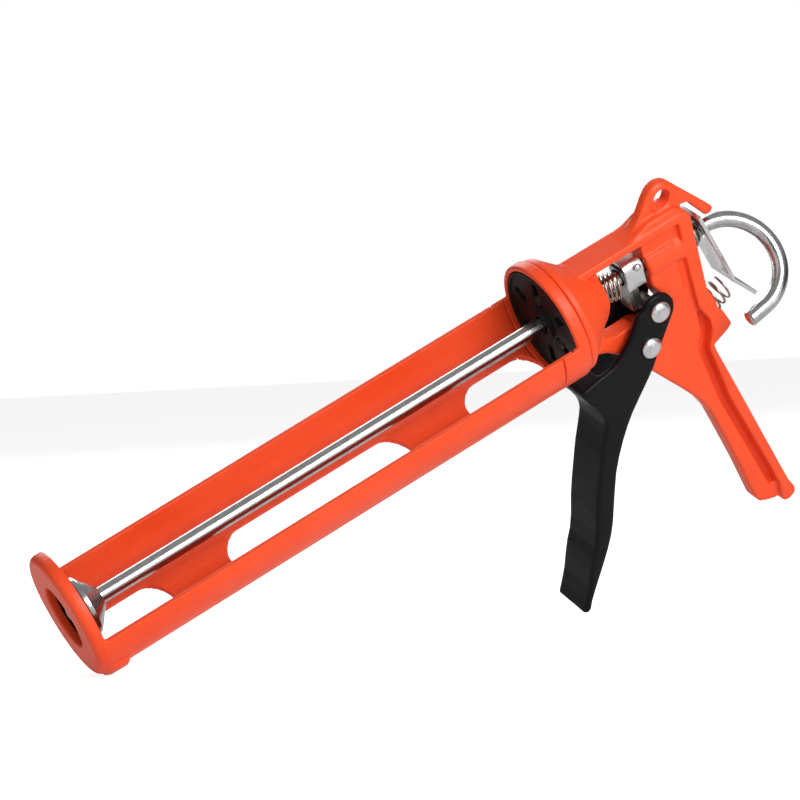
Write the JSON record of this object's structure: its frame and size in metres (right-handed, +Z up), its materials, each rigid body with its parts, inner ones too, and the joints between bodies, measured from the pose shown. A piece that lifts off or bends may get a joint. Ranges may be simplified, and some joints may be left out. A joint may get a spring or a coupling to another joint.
{
  "type": "caulking gun",
  "caption": "Hand-operated caulking gun: half-open turning cradle with slots, hooked push rod, squeeze trigger, grip plates and rod release plate.",
  "frame": {"origin": "centre of the bottom of the bounding box", "axes": "+X back along the push rod from the nose cap to the hook, +Z up with the handle down, +Y to the side away from the hook's roll"},
  "size_m": [0.3518, 0.0634, 0.197],
  "materials": {
    "orange_enamel": "semi-gloss orange-red powder coat",
    "black_enamel": "satin black coat",
    "black_plastic": "matte black",
    "black_steel": "black oxide",
    "zinc_plate": "bright zinc or nickel plate",
    "plain_steel": "ground steel",
    "spring_wire": "drawn spring wire"
  },
  "bodies": {
    "body": {"body_casting": "orange_enamel", "end_disc": "black_plastic", "disc_screw_1": "black_steel", "disc_screw_2": "black_steel", "disc_screw_3": "black_steel", "rod_washer_1": "plain_steel", "rod_washer_2": "black_steel", "drive_spring": "spring_wire", "release_spring": "spring_wire"},
    "cradle": {"trough": "orange_enamel", "collar_ring": "orange_enamel", "nose_cap": "orange_enamel"},
    "rod": {"push_rod": "zinc_plate", "piston_plate": "black_steel", "piston_hub": "zinc_plate", "piston_nut": "black_steel"},
    "trigger_lever": {"trigger": "black_enamel", "pivot_rivet": "zinc_plate", "drive_rivet": "zinc_plate", "drive_roller": "plain_steel"},
    "drive": {"drive_strap": "zinc_plate", "strap_pin": "zinc_plate", "grip_plate_1": "plain_steel", "grip_plate_2": "plain_steel"},
    "release": {"release_plate": "zinc_plate"}
  },
  "joints": [
    {"name": "cradle_turn", "type": "hinge", "parent": "body", "child": "cradle", "pos_m": [0.05488, 0.00368, 0.162], "axis": [1, 0, 0], "continuous": true},
    {"name": "rod_slide", "type": "slide", "parent": "body", "child": "rod", "axis": [1, 0, 0], "range_m": [0, 0.215]},
    {"name": "trigger_squeeze", "type": "hinge", "parent": "body", "child": "trigger_lever", "pos_m": [0.10538, 0.00368, 0.1281], "axis": [0, -1, 0], "range_deg": [0, 18], "stiffness_Nm_per_rad": 3, "springref_deg": -6.88},
    {"name": "grip_drive", "type": "slide", "parent": "body", "child": "drive", "axis": [-1, 0, 0], "range_m": [0, 0.005], "deforming": ["drive_spring"]},
    {"name": "release_press", "type": "hinge", "parent": "body", "child": "release", "pos_m": [0.14488, 0.00368, 0.173], "axis": [0, 1, 0], "range_deg": [0, 5], "stiffness_Nm_per_rad": 0.6, "springref_deg": -5.73, "deforming": ["release_spring"]}
  ],
  "couplings": [
    {"joint": "grip_drive", "follows": "trigger_squeeze", "m_per_rad": 0.01576}
  ]
}
